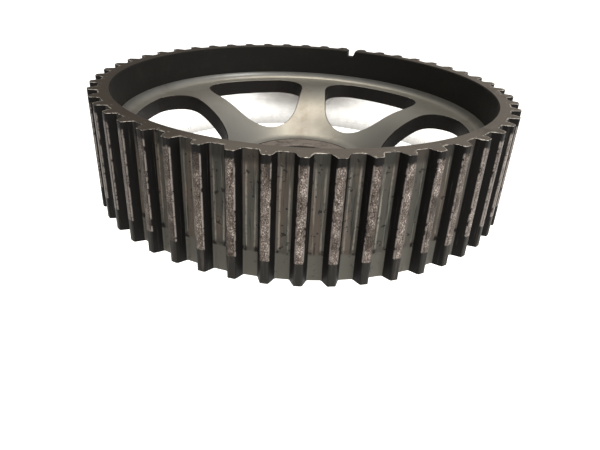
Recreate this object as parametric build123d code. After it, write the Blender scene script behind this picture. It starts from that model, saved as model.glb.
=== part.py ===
"""Camshaft timing belt pulley: a toothed ring, a dished web with six windows, a hub and its fastening.

Millimetres. The origin is the centre of the hub's rear seating face, and +Z is the axis of rotation,
pointing out of the pulley's front. Radii are named *_radius, and heights above the seating face are
named *_level.
"""
from math import asin, atan2, cos, hypot, pi, radians, sin, tan
import os

from build123d import *

# ---- Driving dimensions: the tooth form ----
tooth_count = 50
tooth_pitch = 8.0                # along the belt's pitch line
pitch_line_offset = 0.686        # from the tooth tips out to the belt's pitch line
groove_depth = 2.75
groove_floor = 3.4               # flat width at the bottom of a groove
groove_mouth = 6.1               # width of a groove at the tip circle
groove_root_round = 0.55
tooth_tip_round = 0.8
tip_chamfer = 0.12               # on the ends of the teeth

# ---- Driving dimensions: the ring ----
rim_width = 32.0
rim_standoff = 8.0               # from the hub's seating face forward to the ring's rear face
rim_wall = 3.2                   # from the groove floors in to the front mouth's wall
rim_draft = 0.6                  # how much the wall closes in from the mouth to the web
rim_edge_chamfer = 0.3
notch_floor = 2.2                # timing notch in the ring's front face
notch_mouth = 3.1
notch_depth = 2.3
notch_angle = 77.1               # about +Z from +X, in degrees

# ---- Driving dimensions: the web ----
web_thickness = 5.0
web_recess = 12.1                # from the ring's front face back to the web
web_lip = 1.4                    # thickness of the turned-up lip that is pressed into the ring
web_lip_height = 2.4
web_lip_round = 2.3              # inside the dish, where the lip turns up
web_heel_round = 1.5             # rear edge of the lip
ring_seat_draft = 0.5            # widens the ring's rear mouth so that the web can be pressed in
dish_shoulder_inset = 13.4       # from the windows' outer ends in to where the dish starts to fall
dish_foot_offset = 1.6           # from the hub's edge out to where the dish's slope ends
dish_shoulder_bend = 30.0
dish_foot_bend = 6.0

# ---- Driving dimensions: the windows ----
window_count = 6
window_margin = 4.1              # from the windows' outer ends out to the ring's wall
window_nose_gap = 6.0            # from the hub's edge out to the windows' inner ends
window_nose_round = 14.3
window_corner_round = 8.6
window_edge_round = 0.3
spoke_width = 7.6                # at the windows' outer ends

# ---- Driving dimensions: the hub ----
hub_radius = 19.0
hub_recess = 25.0                # from the ring's front face back to the hub's front face
hub_boss_radius = 17.0
hub_boss_length = 6.0
hub_edge_chamfer = 0.4
dowel_radius = 3.0
dowel_chamfer = 0.5
dowel_length = 8.0
dowel_stand = 4.0                # how far the dowel stands out of the seating face
dowel_circle = 12.0              # radius at which the dowel sits

# ---- Driving dimensions: the fastening ----
thread_radius = 5.0
bolt_stand = 11.0                # thread that stands out of the seating face
bolt_head_height = 6.4
bolt_head_flats = 16.0
bolt_crown_angle = 30.0          # of the chamfer turned on the head, in degrees
bolt_tip_chamfer = 1.0
bolt_neck_radius = 4.3           # between the head and the thread
bolt_hole_clearance = 0.5        # radial
washer_radius = 12.0
washer_thickness = 3.0
washer_chamfer = 0.4
washer_clearance = 1.0           # radial, to the hub's counterbore
counterbore_depth = 9.0

# ---- Limits and allowances ----
foot_bend_share = 0.25           # most of the dish's slope that the foot's bend may take
shoulder_bend_share = 0.95       # most of the room left that the shoulder's bend may take
least_bend = 1.0                 # inside bend of the dish's rear side
cut_overshoot = 1.0              # cutters run this far past the surfaces that they cut
front_tilt = 60.0                # a face turned less than this from +Z belongs to the front side, in degrees
wall_tilt = 89.0                 # a face turned more than this from +Z and -Z is a wall, in degrees

# ---- Derived sizes ----
pitch_radius = tooth_count * tooth_pitch / (2 * pi)
tip_radius = pitch_radius - pitch_line_offset
root_radius = tip_radius - groove_depth
mouth_radius = root_radius - rim_wall
wall_radius = mouth_radius - rim_draft
seat_radius = wall_radius + web_lip
rear_mouth_radius = seat_radius + ring_seat_draft
rear_level = rim_standoff
front_level = rim_standoff + rim_width
web_level = front_level - web_recess
web_rear_level = web_level - web_thickness
lip_level = web_level + web_lip_height
hub_level = front_level - hub_recess
window_outer_radius = wall_radius - window_margin
window_inner_radius = hub_radius + window_nose_gap
dish_shoulder_radius = window_outer_radius - dish_shoulder_inset
dish_foot_radius = hub_radius + dish_foot_offset
counterbore_radius = washer_radius + washer_clearance
counterbore_level = hub_level - counterbore_depth
washer_top_level = counterbore_level + washer_thickness
bolt_hole_radius = thread_radius + bolt_hole_clearance


def outline(points):
    """A closed straight-sided face through the points."""
    return make_face(Polyline(*points, close=True))


def rounded(face, corner, radius):
    """The same face with its corner nearest to the given point rounded."""
    nearest = face.vertices().sort_by_distance(Vector(*corner))[0]
    return fillet(nearest, radius)


def turned(section):
    """A body of revolution about Z from a face drawn as (radius, level)."""
    return revolve(Plane.XZ * section, axis=Axis.Z)


def drilled(radius, low, high):
    """A cylinder on the axis between two levels."""
    return Pos(0, 0, low) * extrude(Circle(radius), high - low)


def groove_face():
    """One belt groove, opening outwards along +X past the tip circle."""
    flare = (groove_mouth - groove_floor) / 2 / groove_depth
    half_floor = groove_floor / 2
    half_mouth = groove_mouth / 2 + flare * cut_overshoot
    far = tip_radius + cut_overshoot
    points = [(root_radius, -half_floor), (far, -half_mouth), (far, half_mouth), (root_radius, half_floor)]
    face = outline(points)
    for corner in (points[0], points[3]):
        face = rounded(face, corner, groove_root_round)
    return face


def toothed_face():
    """The ring's full toothed outline, with the edges of the teeth rounded."""
    grooves = PolarLocations(0, tooth_count, start_angle=notch_angle)
    face = Circle(tip_radius) - [place * groove_face() for place in grooves]
    midway = tip_radius - groove_depth / 2
    tips = [v for v in face.vertices() if hypot(v.X, v.Y) > midway]
    return fillet(tips, tooth_tip_round)


def ring_section():
    """Half section of the ring: front mouth, shoulder for the web's lip, and rear mouth."""
    return outline([
        (rear_mouth_radius + rim_edge_chamfer, rear_level),
        (tip_radius - tip_chamfer, rear_level),
        (tip_radius, rear_level + tip_chamfer),
        (tip_radius, front_level - tip_chamfer),
        (tip_radius - tip_chamfer, front_level),
        (mouth_radius + rim_edge_chamfer, front_level),
        (mouth_radius, front_level - rim_edge_chamfer),
        (wall_radius, lip_level),
        (seat_radius, lip_level),
        (seat_radius, web_rear_level),
        (rear_mouth_radius, rear_level + rim_edge_chamfer),
    ])


def notch_cutter():
    """The timing notch: one upright wall, one slanted wall, cut right through the rim."""
    half_floor = notch_floor / 2
    floor_level = front_level - notch_depth
    spread = (notch_mouth - notch_floor) * (1 + cut_overshoot / notch_depth)
    top_level = front_level + cut_overshoot
    face = outline([
        (-half_floor, floor_level),
        (half_floor, floor_level),
        (half_floor, top_level),
        (-half_floor - spread, top_level),
    ])
    bar = extrude(Plane.YZ * face, tip_radius + cut_overshoot)
    return Rot(0, 0, notch_angle) * bar


def toothed_ring():
    """The toothed ring, with the timing notch over one groove."""
    teeth = Pos(0, 0, rear_level) * extrude(toothed_face(), rim_width)
    return (turned(ring_section()) & teeth) - notch_cutter()


def dish_bends():
    """Bend radii of the dish's front side, limited by the slope and the flat they have to fit on."""
    run = dish_shoulder_radius - dish_foot_radius
    drop = web_level - hub_level
    half_tan = tan(atan2(drop, run) / 2)
    flat = wall_radius - web_lip_round - dish_shoulder_radius
    slope = hypot(run, drop)
    foot = min(dish_foot_bend, foot_bend_share * slope / half_tan)
    spare = min(flat, slope - (foot + web_thickness) * half_tan)
    shoulder = min(dish_shoulder_bend, shoulder_bend_share * spare / half_tan)
    return shoulder, foot, half_tan


def web_section():
    """Half section of the web: lip, flat outer band, sloping dish and foot at the hub."""
    shoulder_bend, foot_bend, half_tan = dish_bends()
    shift = web_thickness * half_tan
    foot = (dish_foot_radius, hub_level)
    shoulder = (dish_shoulder_radius, web_level)
    lip_corner = (wall_radius, web_level)
    heel = (seat_radius, web_rear_level)
    rear_shoulder = (dish_shoulder_radius + shift, web_rear_level)
    rear_foot = (dish_foot_radius + shift, hub_level - web_thickness)
    face = outline([
        (counterbore_radius, hub_level), foot, shoulder, lip_corner,
        (wall_radius, lip_level), (seat_radius, lip_level), heel,
        rear_shoulder, rear_foot, (counterbore_radius, hub_level - web_thickness),
    ])
    face = rounded(face, foot, foot_bend)
    face = rounded(face, shoulder, shoulder_bend)
    face = rounded(face, lip_corner, web_lip_round)
    face = rounded(face, heel, web_heel_round)
    face = rounded(face, rear_shoulder, max(shoulder_bend - web_thickness, least_bend))
    return rounded(face, rear_foot, foot_bend + web_thickness)


def window_face():
    """One window about +X: a round nose at the hub, straight spoke edges and an outer arc."""
    half_step = pi / window_count
    side = window_outer_radius * sin(half_step) - spoke_width / 2 * cos(half_step)
    reach = window_outer_radius * cos(half_step) + spoke_width / 2 * sin(half_step)
    nose = window_inner_radius + window_nose_round
    corner_distance = hypot(side, reach - nose)
    half_angle = atan2(side, reach - nose) - asin(window_nose_round / corner_distance)
    apex = reach - side / tan(half_angle)
    far_side = (tip_radius - apex) * tan(half_angle)
    wedge = outline([(apex, 0), (tip_radius, -far_side), (tip_radius, far_side)])
    face = wedge & Circle(window_outer_radius)
    face = rounded(face, (apex, 0), window_nose_round)
    for corner in ((reach, -side), (reach, side)):
        face = rounded(face, corner, window_corner_round)
    return face


def window_edges(disc):
    """The edges where the windows' walls meet the web's front side."""
    forward = cos(radians(front_tilt))
    upright = cos(radians(wall_tilt))
    fronts = [face for face in disc.faces() if face.normal_at().Z > forward]
    walls = [face for face in disc.faces() if abs(face.normal_at().Z) < upright]
    front_edges = ShapeList(edge for face in fronts for edge in face.edges())
    wall_edges = ShapeList(edge for face in walls for edge in face.edges())

    def beside_window(edge):
        reach = hypot(edge.center().X, edge.center().Y)
        return hub_radius < reach < window_outer_radius + window_margin / 2

    return (front_edges & wall_edges).filter_by(beside_window)


def web_disc():
    """The dished web, with its windows cut through along the axis and its bore for the hub."""
    disc = turned(web_section()) - drilled(hub_radius, 0, front_level)
    window = extrude(window_face(), front_level)
    disc -= [place * window for place in PolarLocations(0, window_count)]
    return fillet(window_edges(disc), window_edge_round)


def hub():
    """The turned hub: spigot in the web, rear boss, counterbore, bolt hole and dowel hole."""
    boss_top = hub_boss_length
    section = outline([
        (0, 0),
        (hub_boss_radius - hub_edge_chamfer, 0),
        (hub_boss_radius, hub_edge_chamfer),
        (hub_boss_radius, boss_top),
        (hub_radius, boss_top + hub_radius - hub_boss_radius),
        (hub_radius, hub_level - hub_edge_chamfer),
        (hub_radius - hub_edge_chamfer, hub_level),
        (counterbore_radius + hub_edge_chamfer, hub_level),
        (counterbore_radius, hub_level - hub_edge_chamfer),
        (counterbore_radius, counterbore_level),
        (0, counterbore_level),
    ])
    body = turned(section) - drilled(bolt_hole_radius, 0, counterbore_level)
    return body - Pos(dowel_circle, 0, 0) * drilled(dowel_radius, 0, dowel_length - dowel_stand)


def locating_dowel():
    """The dowel pressed into the hub's rear face, with chamfered ends."""
    pin = Pos(dowel_circle, 0, 0) * drilled(dowel_radius, -dowel_stand, dowel_length - dowel_stand)
    return chamfer(pin.edges().filter_by(GeomType.CIRCLE), dowel_chamfer)


def clamp_washer():
    """The thick washer that spreads the bolt's load on the counterbore's floor."""
    ring = drilled(washer_radius, counterbore_level, washer_top_level)
    ring -= drilled(bolt_hole_radius, counterbore_level, washer_top_level)
    rims = ring.edges().filter_by(GeomType.CIRCLE).sort_by(SortBy.RADIUS)[-2:]
    return chamfer(rims, washer_chamfer)


def centre_bolt():
    """The hexagon-headed centre bolt, with the top of its head turned to a chamfer."""
    head_top = washer_top_level + bolt_head_height
    corner_radius = bolt_head_flats / 2 / cos(pi / 6)
    crown = corner_radius - bolt_head_flats / 2
    head = Pos(0, 0, washer_top_level) * extrude(RegularPolygon(corner_radius, 6), bolt_head_height)
    cone = turned(outline([
        (0, washer_top_level),
        (corner_radius, washer_top_level),
        (corner_radius, head_top - crown * tan(radians(bolt_crown_angle))),
        (bolt_head_flats / 2 - crown / 2, head_top),
        (0, head_top),
    ]))
    thread = drilled(thread_radius, -bolt_stand, 0)
    thread = chamfer(thread.edges().sort_by(Axis.Z)[0], bolt_tip_chamfer)
    neck = drilled(bolt_neck_radius, -bolt_tip_chamfer, washer_top_level + bolt_tip_chamfer)
    return (head & cone) + thread + neck


def write(node, shape):
    export_step(shape, f"parts/{node}.step")


os.makedirs("parts", exist_ok=True)
write("toothed_ring", toothed_ring())
write("web_disc", web_disc())
write("hub", hub())
write("locating_dowel", locating_dowel())
write("clamp_washer", clamp_washer())
write("centre_bolt", centre_bolt())
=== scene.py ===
"""Timing belt pulley: finishes, a facing burr, the bolt's cut thread and a pale studio."""
from math import cos, hypot, pi, radians, sin, tau
from types import SimpleNamespace

import bmesh
import bpy
from mathutils import Matrix, Vector, noise


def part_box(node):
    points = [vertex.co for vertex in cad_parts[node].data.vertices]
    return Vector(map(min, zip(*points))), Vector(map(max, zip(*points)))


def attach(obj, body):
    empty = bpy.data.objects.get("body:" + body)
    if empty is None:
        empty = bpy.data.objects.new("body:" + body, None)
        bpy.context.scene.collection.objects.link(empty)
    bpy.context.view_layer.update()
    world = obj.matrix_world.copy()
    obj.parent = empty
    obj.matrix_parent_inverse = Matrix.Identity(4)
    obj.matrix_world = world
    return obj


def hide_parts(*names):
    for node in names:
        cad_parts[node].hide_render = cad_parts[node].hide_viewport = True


bl_info = {
    "name": "Timing belt pulley",
    "version": (1, 0, 0),
    "blender": (4, 5, 0),
    "location": "View3D > Sidebar > Pulley",
    "description": "Finishes and fine pieces for a toothed belt pulley",
    "category": "Add Mesh",
}

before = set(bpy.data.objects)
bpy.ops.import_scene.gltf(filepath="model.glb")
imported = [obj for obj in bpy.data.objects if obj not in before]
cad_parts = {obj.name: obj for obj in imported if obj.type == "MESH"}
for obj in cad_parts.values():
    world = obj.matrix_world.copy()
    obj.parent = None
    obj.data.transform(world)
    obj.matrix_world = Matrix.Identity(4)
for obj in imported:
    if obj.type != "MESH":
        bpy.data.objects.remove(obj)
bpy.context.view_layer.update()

RING_LOW, RING_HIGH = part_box("toothed_ring")
WEB_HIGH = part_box("web_disc")[1]
WASHER_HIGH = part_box("clamp_washer")[1]
BOLT_LOW, BOLT_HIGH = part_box("centre_bolt")
RING_RADII = [hypot(v.co.x, v.co.y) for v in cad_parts["toothed_ring"].data.vertices]
TIP_RADIUS = max(RING_RADII)
WALL_RADIUS = min(RING_RADII)
MM = 0.001
NOTHING = 1e-6
WHITE = (1.0, 1.0, 1.0)
WARM = (1.0, 0.91, 0.75)
WINDOW_SIDE = Vector((0.42, -0.36, 0.83)).normalized()
SKY_SPAN = (-0.35, 0.9)
# Direction and reach of a mask that makes the lands, the front face and its chips darker towards the left
# back of the pulley.
LEFT_BACK = Vector((-0.9, 0.5, 0.0))
LEFT_BACK_REACH = (-24.0 * MM, 2.0 * MM)
FLOOR_HALF = 3.0


# ---------------------------------------------------------------- sizes and colours

def size(name, default, description):
    """A length in metres."""
    return bpy.props.FloatProperty(name=name, description=description, default=default, unit="LENGTH",
                                   subtype="DISTANCE", precision=5)


def colour(name, default, description):
    """A scene-linear colour."""
    return bpy.props.FloatVectorProperty(name=name, description=description, default=default, size=3,
                                         min=0.0, max=1.0, subtype="COLOR")


def angle(name, default, description):
    """An angle in radians."""
    return bpy.props.FloatProperty(name=name, description=description, default=default, unit="ROTATION",
                                   subtype="ANGLE")


def number(name, default, description):
    """A plain factor."""
    return bpy.props.FloatProperty(name=name, description=description, default=default, min=0.0)


class PulleyTeeth(bpy.types.PropertyGroup):
    """The tooth form that the ring's wear pattern follows."""
    count: bpy.props.IntProperty(name="Teeth", description="Number of belt grooves", default=50, min=8)
    notch_angle: angle("Notch angle", radians(77.1), "Direction of the groove under the timing notch")
    groove_depth: size("Groove depth", 2.75 * MM, "From the tooth tips in to the groove floors")
    floor_width: size("Groove floor", 3.4 * MM, "Flat width at the bottom of a groove")
    mouth_width: size("Groove mouth", 6.1 * MM, "Width of a groove at the tips")
    belt_top: size("Belt's front edge", 2.0 * MM, "From the ring's front face back to the worn band")
    belt_width: size("Worn width", 23.8 * MM, "Width of the band that the belt has rubbed")


class PulleyColours(bpy.types.PropertyGroup):
    """Scene-linear colours of the pulley's finishes."""
    oxide: colour("Dark oxide", (0.019, 0.0175, 0.015), "Unworn skin of the ring")
    flank: colour("Flank", (0.0042, 0.0038, 0.0034), "Sooty groove flanks")
    floor: colour("Groove floor", (0.070, 0.068, 0.057), "Olive grey groove floors")
    floor_brown: colour("Brown floor", (0.090, 0.073, 0.058), "Patches of brown film on the groove floors")
    floor_streak: colour("Floor streak", (0.24, 0.22, 0.185), "Rubbed lines beside the floor's corners")
    worn: colour("Worn land", (0.115, 0.094, 0.081), "Land where the belt has rubbed")
    worn_spark: colour("Worn highlight", (0.47, 0.415, 0.375), "Bare specks in the worn band")
    pit: colour("Pit", (0.026, 0.020, 0.016), "Pits and trapped dirt")
    face: colour("Front face", (0.088, 0.077, 0.068), "Machined front face of the ring")
    burr: colour("Burr", (0.62, 0.58, 0.53), "Bare steel at chipped edges")
    wall: colour("Inner wall", (0.0130, 0.0125, 0.0110), "Front mouth's wall")
    rear_wall: colour("Rear mouth", (0.92, 0.915, 0.90), "Bare machined wall of the rear mouth")
    web: colour("Web", (0.215, 0.212, 0.197), "Satin skin of the web")
    # Painted shade: near-black laid on the steep cut walls and rounded edges of the windows.
    window_wall_shade: colour("Window wall shade", (0.0085, 0.007, 0.006), "Cut walls of the windows")
    rust: colour("Stain", (0.085, 0.052, 0.032), "Brown stain")
    hub: colour("Hub", (0.125, 0.108, 0.098), "Turned hub")
    washer: colour("Washer", (0.36, 0.33, 0.26), "Plated washer")
    bolt: colour("Bolt", (0.045, 0.043, 0.042), "Phosphated bolt")
    bare: colour("Bare steel", (0.56, 0.55, 0.53), "Ground or rubbed steel")


class PulleyWear(bpy.types.PropertyGroup):
    """How strongly each kind of wear and dirt shows, and how much darker the left back is."""
    land_tint: number("Land tint", 0.35, "Brown tint of the most tinted worn land")
    land_dulling: number("Land dulling", 0.75, "Dirt in the dull patches of the worn lands")
    # Darkens the worn lands towards the left back of the pulley.
    land_left_back_darkening: number("Lands darker at left back", 0.55, "Darkening of the worn lands on the oily side")
    land_soot: number("Soot on lands", 0.8, "Soot on the lands in front of the belt")
    skin_scrapes: number("Scrapes", 0.35, "Scrapes in the oxide skin")
    floor_tint: number("Floor tint", 0.5, "Oxide on the darkest groove floor")
    floor_soot: number("Soot on floors", 0.45, "Soot on the floors in front of the belt")
    pale_lines: number("Pale lines", 0.5, "Pale lines that run along the floors")
    dark_lines: number("Dark lines", 0.6, "Dark lines that run along the floors")
    clean_shine: number("Clean strip", 0.16, "Shine of the clean strip behind the belt")
    crumbs: number("Crumbs", 0.75, "Black crumbs on the floors")
    flank_lines: number("Flank lines", 0.35, "Rubbed lines on the flanks")
    edge_glint: number("Edge glint", 0.5, "Bare steel at the corners of the lands")
    scratches: number("Scratches", 0.6, "Scratches on the front face")
    # How much of the bare chips shows towards the left back of the pulley.
    left_back_chips: number("Chips at left back", 0.35, "What is left of the chips on the oily side")
    face_rings: number("Face rings", 0.14, "Tool rings on the front face")
    face_dirt: number("Face dirt", 0.6, "Dirt patches on the front face")
    # Darkens the front face towards the left back of the pulley.
    face_left_back_darkening: number("Face darker at left back", 0.8, "Darkening of the front face on the oily side")
    web_blotches: number("Web blotches", 0.45, "Dull blotches on the web")
    web_stains: number("Web stains", 0.6, "Brown stains on the web")


class PulleyBurr(bpy.types.PropertyGroup):
    """The ragged fin that facing left along the front outline of the teeth."""
    reach: size("Reach", 0.2 * MM, "Greatest distance that the fin stands out of the edge")
    thickness: size("Thickness", 0.07 * MM, "Thickness of the fin")
    step: size("Step", 0.22 * MM, "Length of one facet of the fin")
    grain: size("Grain", 0.8 * MM, "Typical length of a tooth of the ragged edge")


class PulleyBolt(bpy.types.PropertyGroup):
    """The centre bolt's own sizes."""
    flats: size("Across flats", 16.0 * MM, "Width of the hexagon across its flats")
    thread_radius: size("Thread radius", 5.0 * MM, "Outside radius of the thread")
    pitch: size("Pitch", 1.25 * MM, "Advance of the thread in one turn")
    thread_top: size("Thread top", 0.0, "Level at which the thread ends above the seating face")
    neck_radius: size("Neck radius", 4.3 * MM, "Radius between the head and the thread")
    tip_chamfer: size("Tip chamfer", 1.0 * MM, "Chamfer at the thread's free end")
    facets: bpy.props.IntProperty(name="Facets", description="Facets round the thread", default=48, min=12)


class PulleyStudio(bpy.types.PropertyGroup):
    """The camera and the light."""
    heading: angle("Heading", radians(4.24), "Turn of the line of sight about the pulley's axis")
    tilt: angle("Tilt", radians(28.64), "How far the camera looks down")
    roll: angle("Roll", radians(-3.17), "Turn of the camera about its line of sight")
    distance: size("Distance", 162.95 * MM, "Along the line of sight to the ring's front centre")
    rise: size("Rise", -43.93 * MM, "Camera's height over the ring's centre, across the line of sight")
    aside: size("Aside", 0.74 * MM, "Camera's sideways offset")
    lens: number("Focal length", 31.84, "Focal length in millimetres on a 36 mm sensor")
    dim: number("Dim side", 0.04, "Strength of the sky on the side away from the window")
    bright: number("Bright side", 0.80, "Strength of the sky on the window's side")
    overhead: number("Overhead", 2.5, "Power of the lamp above the pulley, in watts")
    side: number("Side", 1.2, "Power of the lamp at the right front, in watts")
    paper_glow: number("Paper glow", 0.62, "How bright the floor is on its own, which keeps it evenly white")
    paper_bounce: number("Paper bounce", 0.30, "Light that the floor throws up at the pulley")
    paper_mirror: number("Paper in reflections", 0.55, "How bright the floor looks in polished steel")
    drop: size("Floor drop", 60.0 * MM, "From the pulley's lowest point down to the floor")


# ---------------------------------------------------------------- node helpers

def put(tree, kind, inputs=None, **settings):
    """Adds a node, sets its settings, and links or sets its inputs."""
    node = tree.nodes.new(kind)
    for key, value in settings.items():
        setattr(node, key, value)
    for key, value in (inputs or {}).items():
        if isinstance(value, bpy.types.NodeSocket):
            tree.links.new(value, node.inputs[key])
        else:
            node.inputs[key].default_value = value
    return node


def calc(tree, operation, *values):
    """One step of arithmetic."""
    return put(tree, "ShaderNodeMath", dict(enumerate(values)), operation=operation).outputs[0]


def product(tree, *masks):
    """Masks and amounts multiplied together."""
    result = masks[0]
    for mask in masks[1:]:
        result = calc(tree, "MULTIPLY", result, mask)
    return result


def fade(tree, value, low, high, out_low=0.0, out_high=1.0):
    """A smooth step from out_low at low to out_high at high."""
    inputs = {"Value": value, "From Min": low, "From Max": high, "To Min": out_low, "To Max": out_high}
    return put(tree, "ShaderNodeMapRange", inputs, interpolation_type="SMOOTHSTEP").outputs["Result"]


def ease(tree, mask, low, high):
    """A value that moves smoothly from low to high as a mask fills."""
    return fade(tree, mask, 0.0, 1.0, low, high)


def lay(tree, below, above, *masks, mode="MIX"):
    """Lays one colour over another where every mask is; each is a socket or a colour property."""
    node = put(tree, "ShaderNodeMix", {0: product(tree, *masks)}, data_type="RGBA", blend_type=mode)
    for socket, value in ((node.inputs[6], below), (node.inputs[7], above)):
        if isinstance(value, bpy.types.NodeSocket):
            tree.links.new(value, socket)
        else:
            socket.default_value = (*value, 1.0)
    return node.outputs[2]


def cloud(tree, vector, scale, detail, roughness):
    """Fractal noise from 0 to 1."""
    inputs = {"Vector": vector, "Scale": scale, "Detail": detail, "Roughness": roughness}
    return put(tree, "ShaderNodeTexNoise", inputs).outputs["Fac"]


def stretched(tree, vector, x, y, z):
    """The vector with its axes scaled, for grain that runs one way."""
    return put(tree, "ShaderNodeMapping", {"Vector": vector, "Scale": (x, y, z)}).outputs["Vector"]


def new_group(name, inputs, outputs):
    """An empty shader group; returns its tree, the sockets it is given and those it puts out."""
    tree = bpy.data.node_groups.new(name, "ShaderNodeTree")
    for label, (kind, default) in inputs.items():
        socket = tree.interface.new_socket(label, in_out="INPUT", socket_type=kind)
        if default is not None:
            socket.default_value = default
    for label, kind in outputs.items():
        tree.interface.new_socket(label, in_out="OUTPUT", socket_type=kind)
    return tree, tree.nodes.new("NodeGroupInput").outputs, tree.nodes.new("NodeGroupOutput").inputs


def use(tree, name, **inputs):
    """Places a group in a material and returns its outputs."""
    node = tree.nodes.new("ShaderNodeGroup")
    node.node_tree = bpy.data.node_groups[name]
    for key, value in inputs.items():
        socket = node.inputs[key.replace("_", " ").capitalize()]
        if isinstance(value, bpy.types.NodeSocket):
            tree.links.new(value, socket)
        else:
            socket.default_value = value
    return node.outputs


FLOAT = "NodeSocketFloat"
VECTOR = "NodeSocketVector"


# ---------------------------------------------------------------- shared effects

def group_place():
    """Radius, level and direction of a point about the pulley's axis."""
    tree, given, result = new_group("Place", {"Vector": (VECTOR, None)},
                                    {"Radius": FLOAT, "Level": FLOAT, "Direction": FLOAT})
    parts = put(tree, "ShaderNodeSeparateXYZ", {0: given["Vector"]}).outputs
    flat = put(tree, "ShaderNodeCombineXYZ", {0: parts[0], 1: parts[1]}).outputs[0]
    radius = put(tree, "ShaderNodeVectorMath", {0: flat}, operation="LENGTH").outputs["Value"]
    tree.links.new(radius, result["Radius"])
    tree.links.new(parts[2], result["Level"])
    tree.links.new(calc(tree, "ARCTAN2", parts[1], parts[0]), result["Direction"])


def group_grime():
    """Soft patches of dirt with broken edges."""
    tree, given, result = new_group(
        "Grime", {"Vector": (VECTOR, None), "Scale": (FLOAT, 60.0), "Amount": (FLOAT, 0.5)}, {"Mask": FLOAT})
    finer = 9.0
    fine_share = 0.3
    sharpness = 6.0
    rounding = 0.1
    broad = cloud(tree, given["Vector"], given["Scale"], 5.0, 0.65)
    fine = cloud(tree, given["Vector"], calc(tree, "MULTIPLY", given["Scale"], finer), 3.0, 0.7)
    both = calc(tree, "MULTIPLY_ADD", fine, fine_share, calc(tree, "MULTIPLY", broad, 1.0 - fine_share))
    edge = calc(tree, "SUBTRACT", 0.75, calc(tree, "MULTIPLY", given["Amount"], 0.5))
    above = calc(tree, "MULTIPLY", calc(tree, "SUBTRACT", both, edge), sharpness)
    mask = calc(tree, "SMOOTH_MAX", 0.0, above, rounding)
    tree.links.new(calc(tree, "MINIMUM", mask, 1.0), result["Mask"])


def group_speckle():
    """Bare specks and pits of a rubbed surface, with their height."""
    tree, given, result = new_group(
        "Speckle", {"Vector": (VECTOR, None), "Scale": (FLOAT, 2200.0)},
        {"Specks": FLOAT, "Pits": FLOAT, "Height": FLOAT})
    broader = 0.13
    patchiness = 0.35
    specks = (0.53, 0.66)
    pits = (0.46, 0.36)
    fine = cloud(tree, given["Vector"], given["Scale"], 3.0, 0.75)
    broad = cloud(tree, given["Vector"], calc(tree, "MULTIPLY", given["Scale"], broader), 2.0, 0.5)
    bias = calc(tree, "MULTIPLY", calc(tree, "SUBTRACT", broad, 0.5), patchiness)
    biased = calc(tree, "ADD", fine, bias)
    tree.links.new(fade(tree, biased, *specks), result["Specks"])
    tree.links.new(fade(tree, biased, *pits), result["Pits"])
    tree.links.new(biased, result["Height"])


def group_turning():
    """Fine rings left by a turning tool: a height along one coordinate."""
    tree, given, result = new_group(
        "Turning", {"Along": (FLOAT, 0.0), "Spacing": (FLOAT, 0.0003)}, {"Height": FLOAT})
    steps = calc(tree, "DIVIDE", given["Along"], given["Spacing"])
    coarse = put(tree, "ShaderNodeTexNoise", {"W": steps, "Scale": 1.0, "Detail": 3.0, "Roughness": 0.7},
                 noise_dimensions="1D").outputs["Fac"]
    tree.links.new(coarse, result["Height"])


def group_tooth():
    """Where a point lies on the toothed outline: across its groove, below the tips, and from the edge."""
    lengths = {key: (FLOAT, 0.0) for key in ("Radius", "Direction", "Notch angle", "Tip radius",
                                             "Groove depth", "Half floor", "Half mouth")}
    tree, given, result = new_group(
        "Tooth", {**lengths, "Count": (FLOAT, 50.0)},
        {"Across": FLOAT, "Depth": FLOAT, "Edge": FLOAT, "Land": FLOAT, "Groove": FLOAT})
    from_notch = calc(tree, "SUBTRACT", given["Direction"], given["Notch angle"])
    steps = calc(tree, "MULTIPLY", calc(tree, "DIVIDE", from_notch, tau), given["Count"])
    groove = calc(tree, "FLOOR", calc(tree, "ADD", steps, 0.5))
    arc = calc(tree, "MULTIPLY", calc(tree, "DIVIDE", tau, given["Count"]), given["Radius"])
    across = calc(tree, "MULTIPLY", calc(tree, "SUBTRACT", steps, groove), arc)
    depth = calc(tree, "SUBTRACT", given["Tip radius"], given["Radius"])
    above_floor = calc(tree, "SUBTRACT", given["Groove depth"], depth)
    spread = calc(tree, "DIVIDE", calc(tree, "SUBTRACT", given["Half mouth"], given["Half floor"]),
                  given["Groove depth"])
    half_width = calc(tree, "MULTIPLY_ADD", above_floor, spread, given["Half floor"])
    beside = calc(tree, "SUBTRACT", calc(tree, "ABSOLUTE", across), half_width)
    inside = calc(tree, "MAXIMUM", beside, calc(tree, "MULTIPLY", above_floor, -1.0))
    tree.links.new(across, result["Across"])
    tree.links.new(depth, result["Depth"])
    tree.links.new(calc(tree, "MINIMUM", inside, depth), result["Edge"])
    tree.links.new(calc(tree, "FLOOR", steps), result["Land"])
    tree.links.new(groove, result["Groove"])


SHARED_GROUPS = (group_place, group_grime, group_speckle, group_turning, group_tooth)


# ---------------------------------------------------------------- materials

# Noise scales: the larger the number, the finer the pattern.
EDGE_GRAIN = 900.0
WORN_GRAIN = 3400.0
LINE_GRAIN = 1800.0
SPOT_GRAIN = 620.0
SCRAPE_GRAIN = 700.0
TEAR_GRAIN = 260.0
FILM_GRAIN = 230.0
DULL_GRAIN = 85.0
DIRT_GRAIN = 70.0
BLOTCH_GRAIN = 45.0
WEB_DIRT_GRAIN = 38.0
WEB_SKIN_GRAIN = 1500.0
TURNED_DIRT_GRAIN = 160.0
BOLT_GRAIN = 1500.0
BURR_GRAIN = 700.0

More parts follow.
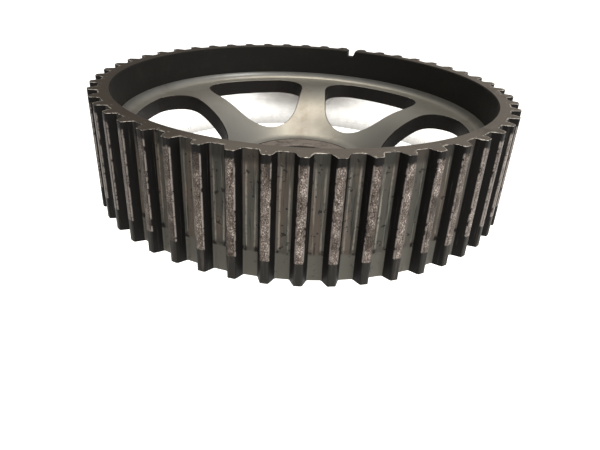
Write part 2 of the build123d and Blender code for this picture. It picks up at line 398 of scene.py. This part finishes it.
# The noise at which a pattern starts to show, and at which it shows in full.
DULLED = (0.50, 0.66)
SCRAPED = (0.50, 0.68)
FILMED = (0.46, 0.60)
TORN = (0.44, 0.60)
PALE_LINES = (0.45, 0.75)
DARK_LINES = (0.42, 0.33)
RUBBED_LINES = (0.38, 0.62)
FLANK_LINES = (0.55, 0.80)
CRUMBS = (0.60, 0.66)
SCRATCHES = (0.63, 0.70)
STAIN_SPOTS = (0.40, 0.54)
GLINT_SPOTS = (0.36, 0.52)
STREAK_SPOTS = (0.30, 0.50)
FACE_RINGS = (0.35, 0.70)
TURNED_RINGS = (0.30, 0.70)
BLOTCHES = (0.38, 0.72)
BOLT_GRIT = (0.35, 0.60)
BURR_DULLED = (0.42, 0.60)

# Roughness and metallic from the duller to the shinier surface of a finish.
RING_ROUGHNESS = (0.52, 0.36)
RING_METALLIC = (0.35, 0.85)
BOLT_ROUGHNESS = (0.55, 0.30)
BOLT_METALLIC = (0.45, 1.00)
WEB_METALLIC = (0.70, 0.10)
BURR_ROUGHNESS = (0.28, 0.50)


def new_material(name):
    """A material with a Principled shader; returns it, its tree, the shader's inputs and its coordinates."""
    material = bpy.data.materials.new(name)
    material.use_nodes = True
    tree = material.node_tree
    coordinates = tree.nodes.new("ShaderNodeTexCoord").outputs
    return material, tree, tree.nodes["Principled BSDF"].inputs, coordinates


def bump(tree, shader, height, distance, strength):
    """Feeds a height into the shader's normal."""
    inputs = {"Height": height, "Distance": distance, "Strength": strength}
    tree.links.new(put(tree, "ShaderNodeBump", inputs).outputs["Normal"], shader["Normal"])


def feed(tree, shader, **values):
    """Links outputs to the shader's inputs of those names."""
    for key, value in values.items():
        tree.links.new(value, shader[key.replace("_", " ").title()])


def random_for(tree, whole):
    """One random value from 0 to 1 for each whole number."""
    return put(tree, "ShaderNodeTexWhiteNoise", {"W": whole}, noise_dimensions="1D").outputs["Value"]


def ring_patterns(tree, point, teeth):
    """The places, masks and noises that the ring's surfaces share."""
    place = use(tree, "Place", vector=point)
    level = place["Level"]
    tooth = use(tree, "Tooth", radius=place["Radius"], direction=place["Direction"],
                notch_angle=teeth.notch_angle, tip_radius=TIP_RADIUS, groove_depth=teeth.groove_depth,
                half_floor=teeth.floor_width / 2, half_mouth=teeth.mouth_width / 2, count=float(teeth.count))
    band_top = RING_HIGH.z - teeth.belt_top
    band_low = band_top - teeth.belt_width
    ragged = calc(tree, "SUBTRACT", cloud(tree, point, EDGE_GRAIN, 3.0, 0.7), 0.5)
    loose = calc(tree, "MULTIPLY_ADD", ragged, 2.4 * MM, level)
    tight = calc(tree, "MULTIPLY_ADD", ragged, 0.5 * MM, level)
    spot = put(tree, "ShaderNodeSeparateXYZ", {0: point}).outputs
    # A mask that rises towards the left back of the pulley. The lands, the front face and its chips are made
    # darker there.
    toward_left_back = calc(tree, "MULTIPLY_ADD", spot[1], LEFT_BACK.y, calc(tree, "MULTIPLY", spot[0], LEFT_BACK.x))
    return SimpleNamespace(
        point=point, level=level, band_top=band_top, band_low=band_low, ragged=ragged, loose=loose,
        tight=tight, depth=tooth["Depth"], edge=tooth["Edge"], across=calc(tree, "ABSOLUTE", tooth["Across"]),
        band=product(tree, fade(tree, loose, band_top + 0.3 * MM, band_top - 0.5 * MM),
                     fade(tree, tight, band_low - 0.15 * MM, band_low + 0.15 * MM)),
        above_band=fade(tree, level, band_top - 2.0 * MM, band_top - 0.5 * MM),
        on_land=fade(tree, tooth["Depth"], 0.32 * MM, 0.12 * MM),
        on_face=fade(tree, level, RING_HIGH.z - 0.06 * MM, RING_HIGH.z - 0.02 * MM),
        left_back=fade(tree, toward_left_back, *LEFT_BACK_REACH),
        land_random=random_for(tree, tooth["Land"]), groove_random=random_for(tree, tooth["Groove"]),
        speckle=use(tree, "Speckle", vector=stretched(tree, point, 1.0, 1.0, 0.75), scale=WORN_GRAIN),
        dirt=use(tree, "Grime", vector=point, scale=DIRT_GRAIN, amount=0.45)["Mask"],
        lines=cloud(tree, stretched(tree, point, 1.0, 1.0, 0.04), LINE_GRAIN, 3.0, 0.7),
        spots=cloud(tree, point, SPOT_GRAIN, 3.0, 0.65),
        turning=use(tree, "Turning", along=place["Radius"], spacing=0.30 * MM)["Height"])


def land_colour(tree, tones, wear, ring):
    """Tooth tips: pitted and speckled where the belt runs, oxide skin beyond it."""
    dulled = cloud(tree, ring.point, DULL_GRAIN, 3.0, 0.55)
    scraped = cloud(tree, stretched(tree, ring.point, 1.0, 1.0, 0.12), SCRAPE_GRAIN, 3.0, 0.7)
    worn = lay(tree, tones.worn, tones.pit, ring.speckle["Pits"])
    worn = lay(tree, worn, tones.worn_spark, ring.speckle["Specks"])
    worn = lay(tree, worn, tones.rust, ring.land_random, wear.land_tint, mode="MULTIPLY")
    worn = lay(tree, worn, tones.pit, fade(tree, dulled, *DULLED), wear.land_dulling)
    # Worn lands made darker towards the left back of the pulley.
    worn = lay(tree, worn, tones.pit, ring.left_back, wear.land_left_back_darkening)
    skin = lay(tree, tones.oxide, tones.pit, ring.dirt)
    skin = lay(tree, skin, tones.worn, fade(tree, scraped, *SCRAPED), wear.skin_scrapes)
    skin = lay(tree, skin, tones.flank, ring.above_band, wear.land_soot)
    return lay(tree, skin, worn, ring.band)


def floor_colour(tree, tones, wear, ring):
    """Groove floors: film, rubbed lines beside the corners, crumbs, a stained edge and a clean strip."""
    low, top = ring.band_low, ring.band_top
    wobble = calc(tree, "MULTIPLY_ADD", ring.ragged, 0.25 * MM, ring.across)
    streak = product(tree, fade(tree, wobble, 0.70 * MM, 0.95 * MM),
                     fade(tree, wobble, 1.40 * MM, 1.12 * MM),
                     fade(tree, ring.lines, *RUBBED_LINES),
                     fade(tree, ring.tight, low + 1.0 * MM, low + 2.5 * MM),
                     fade(tree, ring.loose, top + 0.5 * MM, top - 3.5 * MM),
                     fade(tree, ring.spots, *STREAK_SPOTS, 0.35, 1.0))
    film = cloud(tree, stretched(tree, ring.point, 1.0, 1.0, 0.25), FILM_GRAIN, 3.0, 0.6)
    clean_strip = fade(tree, ring.tight, low + 1.2 * MM, low + 0.4 * MM)
    crumbs = product(tree, fade(tree, ring.spots, *CRUMBS), ease(tree, clean_strip, 1.0, 0.35))
    stain = product(tree, fade(tree, ring.tight, low + 2.4 * MM, low + 1.4 * MM),
                    fade(tree, ring.tight, low + 0.3 * MM, low + 0.9 * MM),
                    fade(tree, ring.across, 0.55 * MM, 1.3 * MM, 0.15, 1.0),
                    fade(tree, ring.spots, *STAIN_SPOTS))
    floor = lay(tree, tones.floor, tones.oxide, ring.groove_random, wear.floor_tint)
    floor = lay(tree, floor, tones.floor_brown, fade(tree, film, *FILMED))
    floor = lay(tree, floor, tones.worn, fade(tree, ring.lines, *PALE_LINES), wear.pale_lines)
    floor = lay(tree, floor, tones.flank, fade(tree, ring.lines, *DARK_LINES), wear.dark_lines)
    floor = lay(tree, floor, tones.floor_streak, streak)
    floor = lay(tree, floor, tones.flank, ring.above_band, wear.floor_soot)
    clean = lay(tree, tones.floor, tones.floor_streak, wear.clean_shine)
    floor = lay(tree, floor, clean, clean_strip)
    floor = lay(tree, floor, tones.flank, crumbs, wear.crumbs)
    return lay(tree, floor, tones.flank, stain)


def side_colour(tree, tones, wear, ring, groove_depth):
    """The toothed outside: sooty flanks between the floors and the lands, with glinting corners."""
    on_floor = fade(tree, ring.depth, groove_depth - 0.35 * MM, groove_depth - 0.12 * MM)
    rubbed_edge = product(tree, fade(tree, ring.depth, 0.12 * MM, 0.2 * MM),
                          fade(tree, ring.depth, 0.55 * MM, 0.3 * MM))
    flank = lay(tree, tones.flank, tones.worn, fade(tree, ring.lines, *FLANK_LINES), wear.flank_lines)
    side = lay(tree, flank, floor_colour(tree, tones, wear, ring), on_floor)
    side = lay(tree, side, land_colour(tree, tones, wear, ring), ring.on_land)
    return lay(tree, side, tones.worn_spark, rubbed_edge, ring.band, wear.edge_glint,
               fade(tree, ring.spots, *GLINT_SPOTS))


def bare_chips(tree, wear, ring):
    """Where the front outline is chipped or scratched down to bare steel."""
    jagged = calc(tree, "MULTIPLY_ADD", ring.ragged, 0.9 * MM, ring.edge)
    torn = fade(tree, cloud(tree, ring.point, TEAR_GRAIN, 3.0, 0.6), *TORN)
    chipped = product(tree, fade(tree, jagged, 0.30 * MM, 0.08 * MM), torn)
    scratch = product(tree, fade(tree, ring.spots, *SCRATCHES), fade(tree, ring.edge, 2.2 * MM, 0.4 * MM),
                      wear.scratches)
    chipped = calc(tree, "MAXIMUM", chipped, scratch)
    # Fewer bare chips show towards the left back of the pulley.
    return product(tree, chipped, ease(tree, ring.left_back, 1.0, wear.left_back_chips))


def ring_finish(tones, wear, teeth):
    """The ring: toothed outside, faced and chipped front, dark front mouth and polished rear mouth."""
    material, tree, shader, coordinates = new_material("ring_finish")
    ring = ring_patterns(tree, coordinates["Object"], teeth)
    mouth_depth = teeth.groove_depth + 1.6 * MM
    in_mouth = fade(tree, ring.depth, mouth_depth, mouth_depth + 0.6 * MM)
    behind_web = fade(tree, ring.level, WEB_HIGH.z - 1.0 * MM, WEB_HIGH.z - 2.0 * MM)
    wall = lay(tree, tones.wall, tones.oxide, ring.dirt)
    wall = lay(tree, wall, tones.rear_wall, behind_web)
    body = lay(tree, side_colour(tree, tones, wear, ring, teeth.groove_depth), wall, in_mouth)
    chipped = bare_chips(tree, wear, ring)
    face = lay(tree, tones.face, tones.web, fade(tree, ring.turning, *FACE_RINGS), wear.face_rings)
    face = lay(tree, face, tones.oxide, ring.dirt, wear.face_dirt)
    # Front face made darker towards the left back of the pulley.
    face = lay(tree, face, tones.pit, ring.left_back, wear.face_left_back_darkening)
    face = lay(tree, face, tones.burr, chipped)

    rubbed = product(tree, ring.on_land, ring.band)
    shiny = calc(tree, "MAXIMUM", product(tree, ring.on_face, chipped), rubbed)
    speck_unevenness = 0.18
    mouth_dullness = 0.22
    mouth_polish = -0.36
    polished = product(tree, in_mouth, behind_web)
    dull_wall = calc(tree, "SUBTRACT", in_mouth, polished)
    dull_wall = calc(tree, "SUBTRACT", dull_wall, product(tree, dull_wall, ring.on_face))
    rough = calc(tree, "SUBTRACT", ease(tree, shiny, *RING_ROUGHNESS), speck_unevenness / 3)
    rough = calc(tree, "MULTIPLY_ADD", ring.speckle["Height"], speck_unevenness, rough)
    rough = calc(tree, "MULTIPLY_ADD", dull_wall, mouth_dullness, rough)
    feed(tree, shader, base_color=lay(tree, body, face, ring.on_face),
         roughness=calc(tree, "MULTIPLY_ADD", polished, mouth_polish, rough),
         metallic=calc(tree, "MAXIMUM", ease(tree, shiny, *RING_METALLIC), polished))
    shader["Specular IOR Level"].default_value = 0.18
    relief = product(tree, ring.speckle["Height"], calc(tree, "MULTIPLY_ADD", shiny, 0.8, 0.2))
    relief = calc(tree, "MULTIPLY_ADD", product(tree, ring.turning, ring.on_face), 0.10, relief)
    bump(tree, shader, relief, 0.12 * MM, 0.9)
    return material


def web_finish(tones, wear):
    """The web: satin skin with faint blotches and stains, and near-black painted shade on the cut walls and
    rounded edges of its windows.
    """
    material, tree, shader, coordinates = new_material("web_finish")
    point = coordinates["Object"]
    radius = use(tree, "Place", vector=point)["Radius"]
    normal = put(tree, "ShaderNodeSeparateXYZ", {0: coordinates["Normal"]}).outputs
    spot = put(tree, "ShaderNodeSeparateXYZ", {0: point}).outputs
    # Faces are picked by the way they face. Steep faces and faces turned round the axis, inside the windows'
    # reach, get painted shade.
    turn = calc(tree, "SUBTRACT", product(tree, normal[0], spot[1]), product(tree, normal[1], spot[0]))
    sideways = calc(tree, "DIVIDE", calc(tree, "ABSOLUTE", turn), radius)
    upright = fade(tree, calc(tree, "ABSOLUTE", normal[2]), 0.80, 0.62)
    upright = calc(tree, "MAXIMUM", upright, fade(tree, sideways, 0.12, 0.35))
    window_shade = product(tree, upright, fade(tree, radius, 53.5 * MM, 52.5 * MM))
    blotch = cloud(tree, point, BLOTCH_GRAIN, 5.0, 0.6)
    dirt = use(tree, "Grime", vector=point, scale=WEB_DIRT_GRAIN, amount=0.35)["Mask"]
    skin = lay(tree, tones.web, tones.face, fade(tree, blotch, *BLOTCHES), wear.web_blotches)
    skin = lay(tree, skin, tones.rust, dirt, wear.web_stains)
    rough = calc(tree, "MULTIPLY_ADD", blotch, 0.2, 0.33)
    # Painted shade: near-black laid over the windows' walls and rounded edges, which are also made rough and
    # less metallic.
    feed(tree, shader, base_color=lay(tree, skin, tones.window_wall_shade, window_shade),
         roughness=calc(tree, "MAXIMUM", rough, product(tree, window_shade, 0.6)),
         metallic=ease(tree, window_shade, *WEB_METALLIC))
    shader["Specular IOR Level"].default_value = 0.15
    bump(tree, shader, cloud(tree, point, WEB_SKIN_GRAIN, 3.0, 0.6), 0.03 * MM, 0.5)
    return material


def turned_finish(name, tone, dirt, spacing, metallic, roughness, use_level=False):
    """Turned or ground steel with tool rings, dirt patches and uneven gloss."""
    material, tree, shader, coordinates = new_material(name)
    point = coordinates["Object"]
    place = use(tree, "Place", vector=point)
    along = place["Level"] if use_level else calc(tree, "ADD", place["Radius"], place["Level"])
    turning = use(tree, "Turning", along=along, spacing=spacing)["Height"]
    dirty = use(tree, "Grime", vector=point, scale=TURNED_DIRT_GRAIN, amount=0.5)["Mask"]
    skin = lay(tree, tone, WHITE, fade(tree, turning, *TURNED_RINGS), 0.35, mode="OVERLAY")
    feed(tree, shader, base_color=lay(tree, skin, dirt, dirty),
         roughness=calc(tree, "MULTIPLY_ADD", dirty, 0.25, roughness),
         metallic=ease(tree, dirty, metallic, metallic * 0.4))
    bump(tree, shader, turning, 0.05 * MM, 0.6)
    return material


def bolt_finish(tones, bolt):
    """The bolt: phosphated, rubbed bright where a socket and the camshaft's thread have touched it."""
    material, tree, shader, coordinates = new_material("bolt_finish")
    point = coordinates["Object"]
    place = use(tree, "Place", vector=point)
    speckle = use(tree, "Speckle", vector=point, scale=BOLT_GRAIN)
    corner = fade(tree, place["Radius"], bolt.flats / 2 + 0.5 * MM, bolt.flats / 2 + 1.1 * MM)
    crest = fade(tree, place["Radius"], bolt.thread_radius - 0.22 * MM, bolt.thread_radius - 0.05 * MM)
    on_thread = fade(tree, place["Level"], bolt.thread_top + 0.2 * MM, bolt.thread_top)
    rubbed = calc(tree, "MAXIMUM", corner, product(tree, crest, on_thread))
    rubbed = product(tree, rubbed, fade(tree, speckle["Height"], *BOLT_GRIT, 0.25, 1.0))
    skin = lay(tree, tones.bolt, tones.pit, speckle["Pits"])
    feed(tree, shader, base_color=lay(tree, skin, tones.bare, rubbed),
         roughness=ease(tree, rubbed, *BOLT_ROUGHNESS), metallic=ease(tree, rubbed, *BOLT_METALLIC))
    bump(tree, shader, speckle["Height"], 0.05 * MM, 0.5)
    return material


def burr_finish(tones):
    """Torn bare steel, duller in places."""
    material, tree, shader, coordinates = new_material("burr_finish")
    dull = cloud(tree, coordinates["Object"], BURR_GRAIN, 3.0, 0.7)
    feed(tree, shader, base_color=lay(tree, tones.burr, tones.face, fade(tree, dull, *BURR_DULLED)),
         roughness=fade(tree, dull, 0.3, 0.7, *BURR_ROUGHNESS))
    shader["Metallic"].default_value = 0.85
    bump(tree, shader, dull, 0.05 * MM, 0.6)
    return material


def paper_finish(studio):
    """The studio's plain pale floor: evenly white, though it throws little light up at the pulley."""
    material, tree, shader, _ = new_material("paper_finish")
    shader["Base Color"].default_value = (0.93, 0.93, 0.93, 1.0)
    shader["Roughness"].default_value = 0.9
    shader["Specular IOR Level"].default_value = 0.1
    shader["Emission Color"].default_value = (*WHITE, 1.0)
    ray = put(tree, "ShaderNodeLightPath").outputs
    strength = ease(tree, ray["Is Glossy Ray"], studio.paper_bounce, studio.paper_mirror)
    feed(tree, shader, emission_strength=ease(tree, ray["Is Camera Ray"], strength, studio.paper_glow))
    return material


# ---------------------------------------------------------------- shapes

def new_piece(name, mesh_data, material, body):
    """A finished piece from a bmesh, riding on a body."""
    mesh = bpy.data.meshes.new(name)
    mesh_data.to_mesh(mesh)
    mesh_data.free()
    piece = bpy.data.objects.new(name, mesh)
    bpy.context.scene.collection.objects.link(piece)
    piece.data.materials.append(material)
    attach(piece, body)
    return piece


def walls_at(edge):
    """The faces at an edge that aren't level."""
    return [face for face in edge.link_faces if abs(face.normal.z) < 0.9]


def front_outline(bm):
    """The ring's front outline edges: between the front face and the tooth walls or chamfers."""
    front = RING_HIGH.z
    mouth = WALL_RADIUS + 1.5 * MM

    def on_outline(edge):
        level_both = all(abs(v.co.z - front) < 0.002 * MM for v in edge.verts)
        outside = all(hypot(v.co.x, v.co.y) > mouth for v in edge.verts)
        return level_both and outside and len(walls_at(edge)) == 1

    return [edge for edge in bm.edges if on_outline(edge)]


def bare_outline():
    """The front outline alone, and the outward direction at each of its corners."""
    bm = bmesh.new()
    bm.from_mesh(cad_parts["toothed_ring"].data)
    bmesh.ops.remove_doubles(bm, verts=bm.verts, dist=0.001 * MM)
    bm.normal_update()
    outline = front_outline(bm)
    outward = {}
    for edge in outline:
        normal = walls_at(edge)[0].normal
        flat = Vector((normal.x, normal.y, 0.0)).normalized()
        for vert in edge.verts:
            place = vert.co.copy().freeze()
            outward[place] = outward.get(place, Vector()) + flat
    keep = set(outline)
    bmesh.ops.delete(bm, geom=bm.faces[:], context="FACES_ONLY")
    bmesh.ops.delete(bm, geom=[edge for edge in bm.edges if edge not in keep], context="EDGES")
    loose = [vert for vert in bm.verts if not vert.link_edges]
    bmesh.ops.delete(bm, geom=loose, context="VERTS")
    return bm, outward


def ragged_fin(sizes):
    """The outline subdivided, extruded outwards unevenly, thickened and kept inside the ring's box."""
    patch_grain = 12 * sizes.grain
    least = 0.08
    droop = 0.25
    sink = 0.1
    bm, outward = bare_outline()
    layer = bm.verts.layers.float_vector.new("outward")
    for vert in bm.verts:
        vert[layer] = outward[vert.co.copy().freeze()].normalized()
    longest = max(edge.calc_length() for edge in bm.edges)
    while longest > sizes.step:
        long_edges = [edge for edge in bm.edges if edge.calc_length() > sizes.step]
        bmesh.ops.subdivide_edges(bm, edges=long_edges, cuts=1)
        longest = max(edge.calc_length() for edge in bm.edges)
    extruded = bmesh.ops.extrude_edge_only(bm, edges=list(bm.edges))["geom"]
    for vert in (item for item in extruded if isinstance(item, bmesh.types.BMVert)):
        tear = noise.fractal(vert.co / sizes.grain, 0.8, 2.0, 3) * 0.5 + 0.35
        patch = noise.noise(vert.co / patch_grain) + 0.55
        reach = sizes.reach * min(max(tear * patch * 1.6, least), 1.0)
        vert.co += vert[layer].normalized() * reach
        vert.co.z -= droop * reach
    bmesh.ops.translate(bm, verts=bm.verts, vec=(0.0, 0.0, -sizes.thickness * sink))
    bm.normal_update()
    down = [face for face in bm.faces if face.normal.z < 0]
    bmesh.ops.reverse_faces(bm, faces=down)
    bmesh.ops.solidify(bm, geom=bm.faces[:], thickness=sizes.thickness)
    widest = min(RING_HIGH.x, RING_HIGH.y, -RING_LOW.x, -RING_LOW.y)
    for vert in bm.verts:
        pull_in = min(1.0, widest / hypot(vert.co.x, vert.co.y))
        vert.co = Vector((vert.co.x * pull_in, vert.co.y * pull_in, vert.co.z))
    bmesh.ops.recalc_face_normals(bm, faces=bm.faces)
    return bm


def hexagon_head(bm, bolt):
    """The hexagon with its turned chamfer, and the neck below it."""
    corner = bolt.flats / 2 / cos(pi / 6)
    crown = bolt.flats / 2 * 0.95
    dish_mouth = crown * 0.72
    dish_floor = crown * 0.66
    dish_depth = 0.35 * MM
    slope = 0.5774
    side_cuts = 9
    low, top = WASHER_HIGH.z, BOLT_HIGH.z
    start = bmesh.ops.create_circle(bm, cap_ends=False, radius=corner, segments=6)["verts"]
    bmesh.ops.translate(bm, verts=start, vec=(0.0, 0.0, low))
    edges = list({edge for vert in start for edge in vert.link_edges})
    bmesh.ops.subdivide_edges(bm, edges=edges, cuts=side_cuts)
    base = list(bm.edges)

    def ring_above(edges, place):
        made = bmesh.ops.extrude_edge_only(bm, edges=edges)["geom"]
        for vert in (item for item in made if isinstance(item, bmesh.types.BMVert)):
            vert.co = place(vert.co)
        return [item for item in made if isinstance(item, bmesh.types.BMEdge)
                and all(v in made for v in item.verts)]

    def under_cone(co):
        return Vector((co.x, co.y, top - max(0.0, hypot(co.x, co.y) - crown) * slope))

    def on_circle(radius, level):
        def place(co):
            reach = hypot(co.x, co.y)
            return Vector((co.x / reach * radius, co.y / reach * radius, level))
        return place

    upper = ring_above(base, under_cone)
    upper = ring_above(upper, on_circle(crown, top))
    upper = ring_above(upper, on_circle(dish_mouth, top))
    upper = ring_above(upper, on_circle(dish_floor, top - dish_depth))
    bmesh.ops.contextual_create(bm, geom=upper)
    lower = ring_above(base, on_circle(bolt.neck_radius, low))
    lower = ring_above(lower, on_circle(bolt.neck_radius, bolt.thread_top))
    bmesh.ops.contextual_create(bm, geom=lower)


def cut_thread(bm, bolt):
    """One helical groove: a V profile a pitch long, swept round and up, then trimmed and closed."""
    depth_share = 0.61
    crest = bolt.thread_radius
    root = crest - depth_share * bolt.pitch
    tip = BOLT_LOW.z
    start = tip - 2 * bolt.pitch
    turns = int((bolt.thread_top - start) / bolt.pitch) + 2
    shape = ((root, 0.0), (root, 0.16), (crest, 0.50), (crest, 0.66), (root, 1.0))
    verts = [bm.verts.new((radius, 0.0, start + share * bolt.pitch)) for radius, share in shape]
    edges = [bm.edges.new(pair) for pair in zip(verts, verts[1:])]
    bmesh.ops.spin(bm, geom=verts + edges, cent=(0, 0, 0), axis=(0, 0, 1), angle=tau * turns,
                   dvec=(0, 0, bolt.pitch / bolt.facets), steps=turns * bolt.facets, use_merge=False)
    bmesh.ops.remove_doubles(bm, verts=bm.verts, dist=0.01 * MM)
    overlap = 0.5 * MM
    for level, direction in ((tip, -1), (bolt.thread_top + overlap, 1)):
        cut = bmesh.ops.bisect_plane(bm, geom=bm.verts[:] + bm.edges[:] + bm.faces[:], dist=NOTHING,
                                     plane_co=(0, 0, level), plane_no=(0, 0, direction), clear_outer=True)
        rim = [item for item in cut["geom_cut"] if isinstance(item, bmesh.types.BMEdge)]
        bmesh.ops.edgeloop_fill(bm, edges=rim)
    for vert in bm.verts:
        reach = hypot(vert.co.x, vert.co.y)
        allowed = crest - bolt.tip_chamfer + (vert.co.z - tip)
        if reach > allowed:
            vert.co.x *= allowed / reach
            vert.co.y *= allowed / reach


def bolt_mesh(bolt):
    """The whole bolt as two closed shells that overlap in the neck."""
    bm = bmesh.new()
    cut_thread(bm, bolt)
    thread = bpy.data.meshes.new("thread_part")
    bm.to_mesh(thread)
    bm.clear()
    hexagon_head(bm, bolt)
    bmesh.ops.recalc_face_normals(bm, faces=bm.faces)
    bm.from_mesh(thread)
    bpy.data.meshes.remove(thread)
    bmesh.ops.recalc_face_normals(bm, faces=bm.faces)
    return bm


# ---------------------------------------------------------------- operators

def give(node, material):
    """Puts a material on a CAD node."""
    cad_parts[node].material_slots[0].material = material


class PULLEY_OT_groups(bpy.types.Operator):
    """Builds the shader groups that the finishes share"""
    bl_idname = "pulley.groups"
    bl_label = "Shared effects"

    def execute(self, context):
        for make in SHARED_GROUPS:
            make()
        return {"FINISHED"}


class PULLEY_OT_ring(bpy.types.Operator):
    """Finishes the toothed ring and adds the burr along its front outline"""
    bl_idname = "pulley.ring"
    bl_label = "Toothed ring"

    def execute(self, context):
        scene = context.scene
        tones = scene.pulley_colours
        give("toothed_ring", ring_finish(tones, scene.pulley_wear, scene.pulley_teeth))
        new_piece("front_burr", ragged_fin(scene.pulley_burr), burr_finish(tones), "wheel")
        return {"FINISHED"}


class PULLEY_OT_web(bpy.types.Operator):
    """Finishes the dished web"""
    bl_idname = "pulley.web"
    bl_label = "Web"

    def execute(self, context):
        give("web_disc", web_finish(context.scene.pulley_colours, context.scene.pulley_wear))
        return {"FINISHED"}


class PULLEY_OT_hub(bpy.types.Operator):
    """Finishes the hub, its dowel and the clamp washer"""
    bl_idname = "pulley.hub"
    bl_label = "Hub, dowel and washer"

    def execute(self, context):
        tones = context.scene.pulley_colours
        give("hub", turned_finish("hub_finish", tones.hub, tones.oxide, spacing=0.3 * MM, metallic=0.35,
                                  roughness=0.55))
        give("locating_dowel", turned_finish("dowel_finish", tones.bare, tones.rust, spacing=0.2 * MM,
                                             metallic=1.0, roughness=0.22, use_level=True))
        give("clamp_washer", turned_finish("washer_finish", tones.washer, tones.rust, spacing=0.4 * MM,
                                           metallic=0.9, roughness=0.34))
        return {"FINISHED"}


class PULLEY_OT_bolt(bpy.types.Operator):
    """Models the centre bolt with a turned head and a cut thread"""
    bl_idname = "pulley.bolt"
    bl_label = "Centre bolt"

    def execute(self, context):
        scene = context.scene
        finish = bolt_finish(scene.pulley_colours, scene.pulley_bolt)
        piece = new_piece("threaded_bolt", bolt_mesh(scene.pulley_bolt), finish, "bolt")
        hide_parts("centre_bolt")
        return {"FINISHED"}


def add_lamp(name, power, spread, place, target, warmth):
    """A square soft lamp aimed at a point."""
    data = bpy.data.lights.new(name, "AREA")
    data.shape = "SQUARE"
    data.size = spread
    data.energy = power
    data.color = warmth
    lamp = bpy.data.objects.new(name, data)
    lamp.location = place
    lamp.rotation_euler = (Vector(target) - Vector(place)).to_track_quat("-Z", "Y").to_euler()
    bpy.context.scene.collection.objects.link(lamp)


def add_camera(studio):
    """The camera, placed from the ring's front centre by its heading, tilt, roll and offsets."""
    turn = Matrix.Rotation(studio.heading, 3, "Z")
    right = turn @ Vector((1.0, 0.0, 0.0))
    up = turn @ Vector((0.0, sin(studio.tilt), cos(studio.tilt)))
    ahead = turn @ Vector((0.0, cos(studio.tilt), -sin(studio.tilt)))
    spot = Vector((0.0, 0.0, RING_HIGH.z)) - ahead * studio.distance + up * studio.rise + right * studio.aside
    across = right * cos(studio.roll) - up * sin(studio.roll)
    over = right * sin(studio.roll) + up * cos(studio.roll)
    data = bpy.data.cameras.new("camera")
    data.lens = studio.lens
    data.sensor_width = 36.0
    data.clip_start = 0.005
    data.clip_end = 20.0
    camera = bpy.data.objects.new("camera", data)
    camera.matrix_world = Matrix.Translation(spot) @ Matrix((across, over, -ahead)).transposed().to_4x4()
    bpy.context.scene.collection.objects.link(camera)
    bpy.context.scene.camera = camera


def sky(tree, studio):
    """A dome that is brightest over the right front, like daylight from one window."""
    back = tree.nodes["Background"].inputs
    back["Color"].default_value = (*WHITE, 1.0)
    ahead = put(tree, "ShaderNodeTexCoord").outputs["Generated"]
    toward = put(tree, "ShaderNodeVectorMath", {0: ahead, 1: WINDOW_SIDE}, operation="DOT_PRODUCT")
    strength = fade(tree, toward.outputs["Value"], *SKY_SPAN, studio.dim, studio.bright)
    tree.links.new(strength, back["Strength"])


class PULLEY_OT_stage(bpy.types.Operator):
    """Lays the pale floor and sets the light and the camera"""
    bl_idname = "pulley.stage"
    bl_label = "Studio"

    def execute(self, context):
        studio = context.scene.pulley_studio
        bm = bmesh.new()
        bmesh.ops.create_grid(bm, x_segments=1, y_segments=1, size=FLOOR_HALF)
        bmesh.ops.translate(bm, verts=bm.verts, vec=(0.0, 0.0, BOLT_LOW.z - studio.drop))
        mesh = bpy.data.meshes.new("floor")
        bm.to_mesh(mesh)
        bm.free()
        mesh.materials.append(paper_finish(studio))
        floor = bpy.data.objects.new("floor", mesh)
        context.scene.collection.objects.link(floor)

        world = bpy.data.worlds.new("studio")
        world.use_nodes = True
        sky(world.node_tree, studio)
        context.scene.world = world
        centre = (0.0, 0.0, WEB_HIGH.z)
        add_lamp("overhead_lamp", power=studio.overhead, spread=0.26, place=(0.0, 0.06, 0.55), target=centre,
                 warmth=WARM)
        add_lamp("side_lamp", power=studio.side, spread=0.2, place=(0.38, -0.25, 0.22), target=centre,
                 warmth=WHITE)
        add_camera(studio)
        context.scene.view_settings.view_transform = "Standard"
        return {"FINISHED"}


STEPS = (PULLEY_OT_groups, PULLEY_OT_ring, PULLEY_OT_web, PULLEY_OT_hub, PULLEY_OT_bolt, PULLEY_OT_stage)


class PULLEY_PT_panel(bpy.types.Panel):
    """The pulley's steps in the sidebar"""
    bl_idname = "PULLEY_PT_panel"
    bl_label = "Timing belt pulley"
    bl_space_type = "VIEW_3D"
    bl_region_type = "UI"
    bl_category = "Pulley"

    def draw(self, context):
        for step in STEPS:
            self.layout.operator(step.bl_idname)


SETTINGS = {
    "pulley_teeth": PulleyTeeth,
    "pulley_colours": PulleyColours,
    "pulley_wear": PulleyWear,
    "pulley_burr": PulleyBurr,
    "pulley_bolt": PulleyBolt,
    "pulley_studio": PulleyStudio,
}
CLASSES = (*SETTINGS.values(), *STEPS, PULLEY_PT_panel)


def register():
    for entry in CLASSES:
        bpy.utils.register_class(entry)
    for name, kind in SETTINGS.items():
        setattr(bpy.types.Scene, name, bpy.props.PointerProperty(type=kind))


def unregister():
    for name in SETTINGS:
        delattr(bpy.types.Scene, name)
    for entry in reversed(CLASSES):
        bpy.utils.unregister_class(entry)


def main():
    """Builds every piece."""
    register()
    bpy.ops.pulley.groups()
    bpy.ops.pulley.ring()
    bpy.ops.pulley.web()
    bpy.ops.pulley.hub()
    bpy.ops.pulley.bolt()
    bpy.ops.pulley.stage()


if __name__ == "__main__":
    main()
